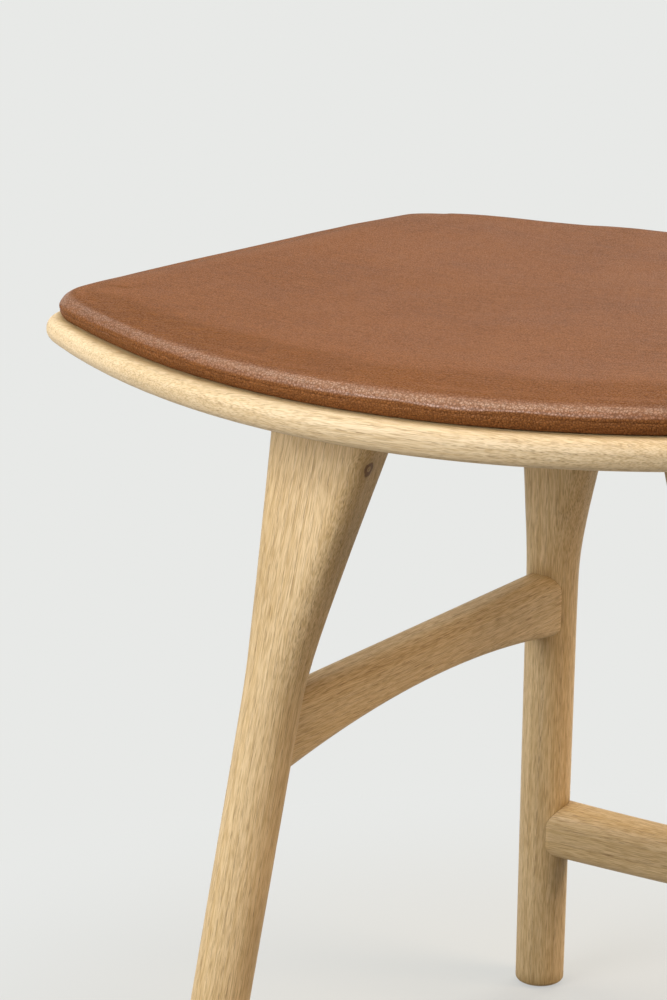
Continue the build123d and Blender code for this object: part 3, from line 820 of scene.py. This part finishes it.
class STOOL_OT_rails(bpy.types.Operator):
    """Give the side rails and the back stretcher their oak, with the grain along them"""

    bl_idname = "stool.rails"
    bl_label = "Dress Rails and Stretcher"

    def execute(self, context):
        settings = context.scene.stool_oak
        for index, node in enumerate(RAILS):
            offset = (0.9, 0.17 * index + 0.04, 0.11 * index)
            dress(node, oak("oak_" + node, (0, 1, 0), offset, (0, 30, 50), settings, tint=0.1))
        offset, pith = (0.15, 0.4, 0.21), (0, 25, 44)
        dress("back_stretcher", oak("oak_back_stretcher", (1, 0, 0), offset, pith, settings, tint=0.08))
        return {"FINISHED"}


class STOOL_OT_leather_pad(bpy.types.Operator):
    """Build the leather pad over its foam, swell it and put it in place of the plain solids"""

    bl_idname = "stool.leather_pad"
    bl_label = "Build Leather Pad"

    def execute(self, context):
        pad = context.scene.stool_pad
        mesh, held = pad_shape(pad)
        soften(mesh.verts, pad)
        mesh.verts.index_update()
        held_places = [vertex.index for vertex in held]
        data = bpy.data.meshes.new("leather_pad")
        mesh.to_mesh(data)
        mesh.free()
        piece = bpy.data.objects.new("leather_pad", data)
        context.scene.collection.objects.link(piece)
        group = piece.vertex_groups.new(name="held")
        group.add(held_places, 1.0, "REPLACE")
        swell(piece, pad)
        for face in piece.data.polygons:
            face.use_smooth = True
        finer = piece.modifiers.new("Finer", "SUBSURF")
        finer.levels = 1
        finer.render_levels = 1
        piece.data.materials.append(leather(context.scene.stool_leather))
        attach(piece, "root")
        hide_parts("leather_cover", "pad_foam")
        return {"FINISHED"}


class STOOL_OT_pad_inside(bpy.types.Operator):
    """Give the panel and the staples inside the pad their materials"""

    bl_idname = "stool.pad_inside"
    bl_label = "Dress Inside of Pad"

    def execute(self, context):
        fittings = context.scene.stool_fittings
        dress("pad_base_panel", raw_wood("birch_plywood", fittings.plywood, (1, 0, 0), (12, 420, 900)))
        dress("hem_staples", plated_steel("staple_steel", fittings.steel))
        return {"FINISHED"}


class STOOL_OT_joinery(bpy.types.Operator):
    """Give the dowels and the screws their materials"""

    bl_idname = "stool.joinery"
    bl_label = "Dress Dowels and Screws"

    def execute(self, context):
        fittings = context.scene.stool_fittings
        wood = raw_wood("dowel_beech", fittings.beech, (0, 0, 1), (30, 900, 900))
        for node in DOWELS:
            dress(node, wood)
        steel = plated_steel("screw_steel", fittings.steel)
        for node in SCREWS:
            dress(node, steel)
        return {"FINISHED"}


class STOOL_OT_glides(bpy.types.Operator):
    """Give the felt glides their material"""

    bl_idname = "stool.glides"
    bl_label = "Dress Floor Glides"

    def execute(self, context):
        felt = pressed_felt("pressed_felt", context.scene.stool_fittings.felt)
        for node in GLIDES:
            dress(node, felt)
        return {"FINISHED"}


class STOOL_OT_stage(bpy.types.Operator):
    """Lay the pale floor, hang the lights and set up the camera"""

    bl_idname = "stool.stage"
    bl_label = "Set Stage"

    def looked_at(self, tree):
        """The kinds of ray, and a mask for those of the camera and of reflections."""
        path = add(tree, "ShaderNodeLightPath").outputs
        return path, sum_up(tree, "MAXIMUM", path["Is Camera Ray"], path["Is Glossy Ray"])

    def mixed(self, tree, factor, first, second):
        """Two shaders mixed."""
        return add(tree, "ShaderNodeMixShader", {0: factor, 1: first, 2: second}).outputs[0]

    def floor(self, context, stage):
        """A pale floor that fades into the backdrop away from the stool, and is darker near it: real shadows
        fall there, and its darker colour adds a painted shade pool round the stool.
        """
        reach = stage.floor_reach
        data = bpy.data.meshes.new("floor")
        corners = [(-reach, -reach, 0), (reach, -reach, 0), (reach, reach, 0), (-reach, reach, 0)]
        data.from_pydata(corners, [], [(0, 1, 2, 3)])
        floor = bpy.data.objects.new("floor", data)
        context.scene.collection.objects.link(floor)
        material, tree, shader, place = blank_material("pale_floor")
        shader.inputs["Base Color"].default_value = opaque(stage.floor)
        shader.inputs["Specular IOR Level"].default_value = 0.3
        patch = between(tree, cloud(tree, place, (5, 5, 5), 4.0), 0.3, 0.7, 0.42, 0.55)
        tree.links.new(patch, shader.inputs["Roughness"])
        path, seen = self.looked_at(tree)
        # Painted shade: near the stool the darker lit floor shows through, farther out only the backdrop's
        # colour
        painted_shade_fade = between(tree, size_of(tree, place), 0.2, 0.56, 0.58, 1.0)
        pale = {"Color": opaque(stage.backdrop), "Strength": 1.0}
        backdrop = add(tree, "ShaderNodeEmission", pale).outputs[0]
        duller = add(tree, "ShaderNodeBsdfDiffuse", {"Color": opaque(stage.bounce)}).outputs[0]
        near = self.mixed(tree, path["Is Diffuse Ray"], shader.outputs[0], duller)
        both = self.mixed(tree, sum_up(tree, "MULTIPLY", painted_shade_fade, seen), near, backdrop)
        tree.links.new(both, tree.nodes["Material Output"].inputs["Surface"])
        data.materials.append(material)

    def lamp(self, context, name, power, size, reach, heading, height, tone):
        """One soft rectangular light that faces the stool, placed by its two angles in degrees."""
        aim = Vector((0, 0, 0.3))
        around, up = math.radians(heading), math.radians(height)
        away = Vector((math.cos(up) * math.cos(around), math.cos(up) * math.sin(around), math.sin(up)))
        data = bpy.data.lights.new(name, "AREA")
        data.shape = "RECTANGLE"
        data.size, data.size_y = size
        data.energy = power
        data.color = tone
        lamp = bpy.data.objects.new(name, data)
        lamp.location = aim + away * reach
        lamp.rotation_euler = (-away).to_track_quat("-Z", "Y").to_euler()
        context.scene.collection.objects.link(lamp)

    def world(self, context, stage):
        """Even light all round, with the backdrop's colour where the camera sees it."""
        world = bpy.data.worlds.new("studio")
        world.use_nodes = True
        tree = world.node_tree
        light = tree.nodes["Background"]
        light.inputs["Color"].default_value = (1.0, 1.0, 1.0, 1.0)
        light.inputs["Strength"].default_value = stage.world
        pale = {"Color": opaque(stage.backdrop), "Strength": 1.0}
        backdrop = add(tree, "ShaderNodeBackground", pale).outputs[0]
        both = self.mixed(tree, self.looked_at(tree)[1], light.outputs[0], backdrop)
        tree.links.new(both, tree.nodes["World Output"].inputs["Surface"])
        context.scene.world = world

    def camera(self, context, stage):
        """The photograph's point of view."""
        data = bpy.data.cameras.new("camera")
        data.lens = stage.lens
        data.clip_start = 0.01
        camera = bpy.data.objects.new("camera", data)
        camera.location = stage.camera_place
        camera.rotation_euler = (math.pi / 2 - stage.tilt, 0, stage.heading)
        context.scene.collection.objects.link(camera)
        context.scene.camera = camera

    def execute(self, context):
        stage = context.scene.stool_stage
        self.floor(context, stage)
        self.world(context, stage)
        # Size and distance in metres, heading and height in degrees
        self.lamp(context, "front_window", stage.key, (0.9, 0.55), 1.45, 250, 25, (1.0, 1.0, 1.0))
        self.lamp(context, "right_card", stage.fill, (1.2, 1.2), 2.6, 10, 30, (1.0, 0.79, 0.58))
        self.lamp(context, "back_card", stage.rim, (1.4, 1.4), 2.6, 90, 38, (1.0, 1.0, 0.9))
        self.lamp(context, "skylight", stage.top, (1.5, 1.5), 2.6, 193, 64, (1.0, 0.92, 0.76))
        self.camera(context, stage)
        context.scene.view_settings.view_transform = "Standard"
        return {"FINISHED"}


class STOOL_PT_stool(bpy.types.Panel):
    """The stool's steps, in the order that they are run"""

    bl_idname = "STOOL_PT_stool"
    bl_label = "Oak Stool"
    bl_space_type = "VIEW_3D"
    bl_region_type = "UI"
    bl_category = "Stool"

    def draw(self, context):
        for group, step in PANEL_ROWS:
            box = self.layout.box()
            settings = getattr(context.scene, group)
            for name in settings.bl_rna.properties.keys():
                if name not in ("rna_type", "name"):
                    box.prop(settings, name)
            for operator in step:
                box.operator(operator.bl_idname)


SETTINGS = {
    "stool_oak": OakSettings,
    "stool_leather": LeatherSettings,
    "stool_pad": PadSettings,
    "stool_fittings": FittingSettings,
    "stool_stage": StageSettings,
}
PANEL_ROWS = (
    ("stool_oak", (STOOL_OT_seat_board, STOOL_OT_legs, STOOL_OT_rails)),
    ("stool_leather", ()),
    ("stool_pad", (STOOL_OT_leather_pad,)),
    ("stool_fittings", (STOOL_OT_pad_inside, STOOL_OT_joinery, STOOL_OT_glides)),
    ("stool_stage", (STOOL_OT_stage,)),
)
CLASSES = (
    *SETTINGS.values(),
    STOOL_OT_seat_board,
    STOOL_OT_legs,
    STOOL_OT_rails,
    STOOL_OT_leather_pad,
    STOOL_OT_pad_inside,
    STOOL_OT_joinery,
    STOOL_OT_glides,
    STOOL_OT_stage,
    STOOL_PT_stool,
)


def register():
    for kind in CLASSES:
        bpy.utils.register_class(kind)
    for name, kind in SETTINGS.items():
        setattr(bpy.types.Scene, name, PointerProperty(type=kind))


def unregister():
    for name in SETTINGS:
        delattr(bpy.types.Scene, name)
    for kind in reversed(CLASSES):
        bpy.utils.unregister_class(kind)


def main():
    register()
    bpy.ops.stool.seat_board()
    bpy.ops.stool.legs()
    bpy.ops.stool.rails()
    bpy.ops.stool.leather_pad()
    bpy.ops.stool.pad_inside()
    bpy.ops.stool.joinery()
    bpy.ops.stool.glides()
    bpy.ops.stool.stage()


if __name__ == "__main__":
    main()
